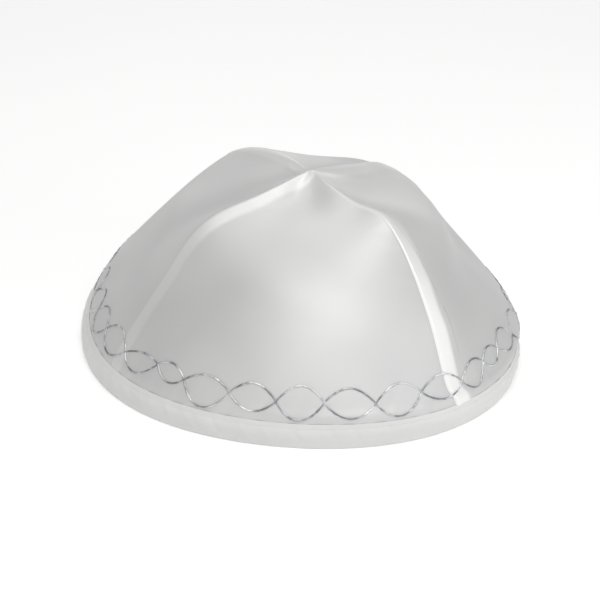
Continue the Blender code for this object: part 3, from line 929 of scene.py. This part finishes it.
def matt_board(name):
    """Pale matt studio board, with the faint unevenness of painted card."""
    material = bpy.data.materials.new(name)
    material.use_nodes = True
    tree = material.node_tree
    body = add_node(tree, "ShaderNodeTexCoord")
    grain = add_node(tree, "ShaderNodeTexNoise", {"Vector": body.outputs["Object"], "Scale": 3.0,
                                                  "Detail": 2.0})
    base = add_node(tree, "ShaderNodeMix", {"Factor": grain.outputs["Fac"], "A": srgb("#F6F6F6"),
                                            "B": srgb("#F1F1F1")}, data_type="RGBA")
    set_shader(material, Base_Color=socket(base.outputs, "Result"), Roughness=0.8, Specular_IOR_Level=0.2,
               Emission_Color=srgb("#FFFFFF"), Emission_Strength=0.16)
    return material


# Studio

def camera_at(target, distance, elevation):
    """Camera that looks along +Y and down at the target, square to it, with the photograph's view."""
    data = bpy.data.cameras.new("camera")
    data.sensor_fit = "HORIZONTAL"
    data.sensor_width = SENSOR_WIDTH
    data.lens = CAMERA_LENS
    data.clip_start = 0.01
    camera = bpy.data.objects.new("camera", data)
    back = distance * np.cos(elevation)
    above = distance * np.sin(elevation)
    camera.location = (target[0], target[1] - back, target[2] + above)
    camera.rotation_euler = (np.pi / 2 - elevation, 0, 0)
    bpy.context.scene.collection.objects.link(camera)
    bpy.context.scene.camera = camera


def soft_light(name, place, aim, size, power, colour):
    """Square softbox at a place, turned to face its aim."""
    data = bpy.data.lights.new(name, "AREA")
    data.size = size
    data.energy = power
    data.color = colour
    light = bpy.data.objects.new(name, data)
    light.location = place
    towards = Vector(aim) - Vector(place)
    light.rotation_euler = towards.to_track_quat("-Z", "Y").to_euler()
    bpy.context.scene.collection.objects.link(light)


def floor_piece(material):
    """Round floor at z = 0: a ring of faces, and a small flat patch of four-cornered faces in its middle."""
    angle = np.linspace(0, 2 * np.pi, FLOOR_CORNERS, endpoint=False)
    rim = np.stack([FLOOR_RADIUS * np.cos(angle), FLOOR_RADIUS * np.sin(angle), 0 * angle], axis=-1)
    points = np.concatenate([rim, rim * FLOOR_INNER_SHARE])
    number = np.arange(FLOOR_CORNERS)
    ahead = np.roll(number, -1)
    inner = number + FLOOR_CORNERS
    ring = np.stack([inner, number, ahead, ahead + FLOOR_CORNERS], axis=-1)
    first = inner[2:-2:2]
    patch = np.stack([first, inner[3:-1:2], inner[4::2], np.full_like(first, inner[0])], axis=-1)
    return add_piece("floor", points, np.concatenate([ring, patch]), material)


def studio():
    scene = bpy.context.scene
    scene.view_settings.view_transform = "Standard"
    world = bpy.data.worlds.new("studio")
    world.use_nodes = True
    background = world.node_tree.nodes["Background"]
    background.inputs["Color"].default_value = (1, 1, 1, 1)
    background.inputs["Strength"].default_value = WORLD_STRENGTH
    scene.world = world
    for light in LIGHTS:
        soft_light(*light)
    camera_at(CAMERA_TARGET, CAMERA_DISTANCE, CAMERA_ELEVATION)


def main():
    # F8F8F7 is the whiter cloth over the turned edges, which is partly a painted highlight on the seams'
    # bands
    satin = woven_satin("woven_satin", ("#D8D8D7", "#D1D1D1"), "#F8F8F7", 0.55)
    tape_satin = bias_tape_satin("satin_bias_tape", "#DCDCDB", "#D5D5D4", 0.50)
    silver = metallised_thread("silver_metallised_thread")
    white_thread = spun_thread("white_sewing_thread")

    tape, middle, tape_flat, outer_line, inner_line = tape_piece(tape_satin)
    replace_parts(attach(tape, "root"), "rim_binding")

    allowances = [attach(allowance_piece(seam, satin, middle), "root") for seam in range(len(RIDGES))]
    for index, panel in enumerate(PANELS):
        piece, flat, area = panel_piece(index, satin, middle)
        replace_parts(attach(piece, "root"), f"crown_panel_{panel.name}")

    for name, first_up in (("chain_thread_a", True), ("chain_thread_b", False)):
        azimuth, height = chain_heights(first_up)
        path, normals = on_cloth(azimuth, height, middle)
        thread = cord(name, path, normals, silver, THREAD_WIDTH, THREAD_HEIGHT, THREAD_STITCH,
                      THREAD_PINCH)
        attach(thread, "root")

    for name, line in (("tape_stitches_outer", outer_line), ("tape_stitches_inner", inner_line)):
        row = stitch_row(name, *line, white_thread, TAPE_STITCH_LENGTH, SEAM_STITCH, TAPE_STITCH_WIDTH,
                         TAPE_STITCH_HEIGHT, 1.0)
        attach(row, "root")

    floor = floor_piece(matt_board("matt_studio_board"))
    studio()


main()
